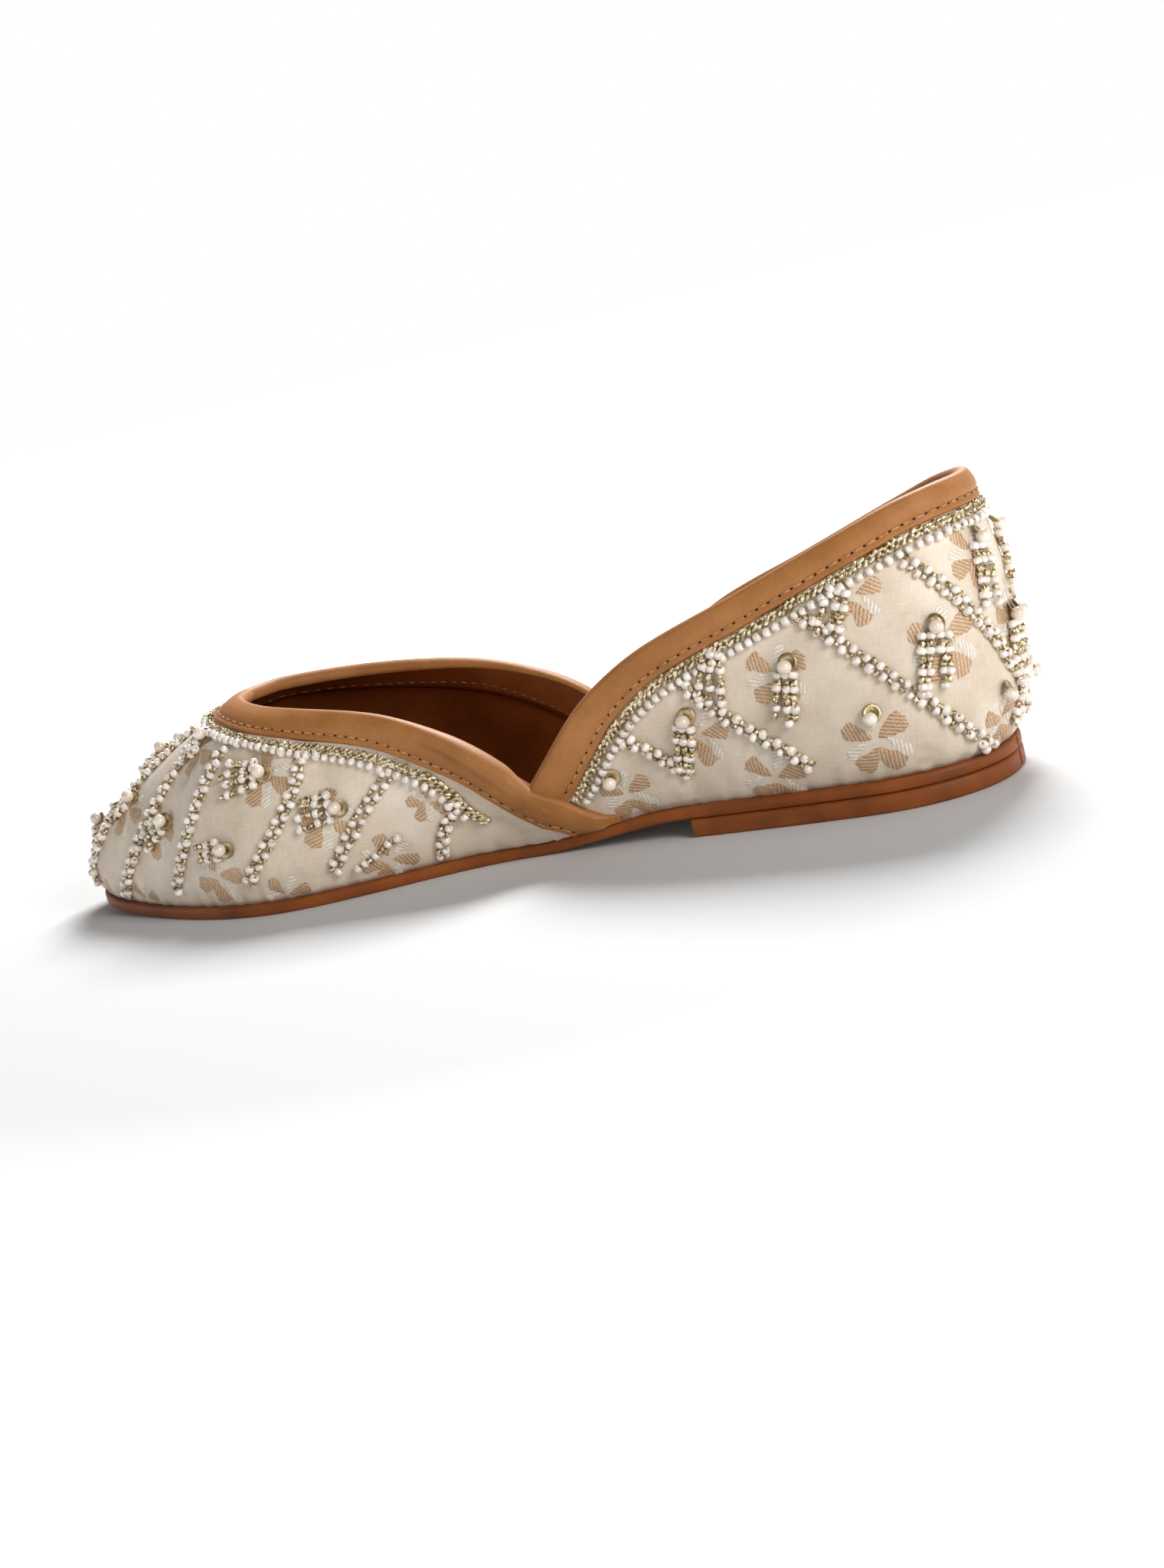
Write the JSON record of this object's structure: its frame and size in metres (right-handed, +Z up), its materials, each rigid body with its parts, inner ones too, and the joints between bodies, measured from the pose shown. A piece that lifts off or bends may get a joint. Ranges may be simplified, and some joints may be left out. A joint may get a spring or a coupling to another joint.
{
  "type": "mojari shoe",
  "caption": "Right mojari: a flat slip-on of beaded ivory brocade with a round toe, cut low at both sides, with leather edging, leather sole and low heel lift.",
  "frame": {"origin": "on the floor, under the middle of the shoe's length and width", "axes": "+X toward the toe, +Y toward the wearer's left, +Z up"},
  "size_m": [0.2544, 0.0842, 0.0678],
  "materials": {
    "sole_leather": "reddish tan vegetable-tanned leather, edge burnished",
    "brocade": "ivory silk brocade with woven flowers, sewn with beads",
    "binding_leather": "smooth tan leather, satin",
    "footbed_leather": "dark brown lining leather, matte"
  },
  "bodies": {
    "root": {"outsole": "sole_leather", "heel_lift": "sole_leather", "upper": "brocade", "vamp_binding": "binding_leather", "quarter_binding": "binding_leather", "insole": "footbed_leather"}
  },
  "joints": []
}
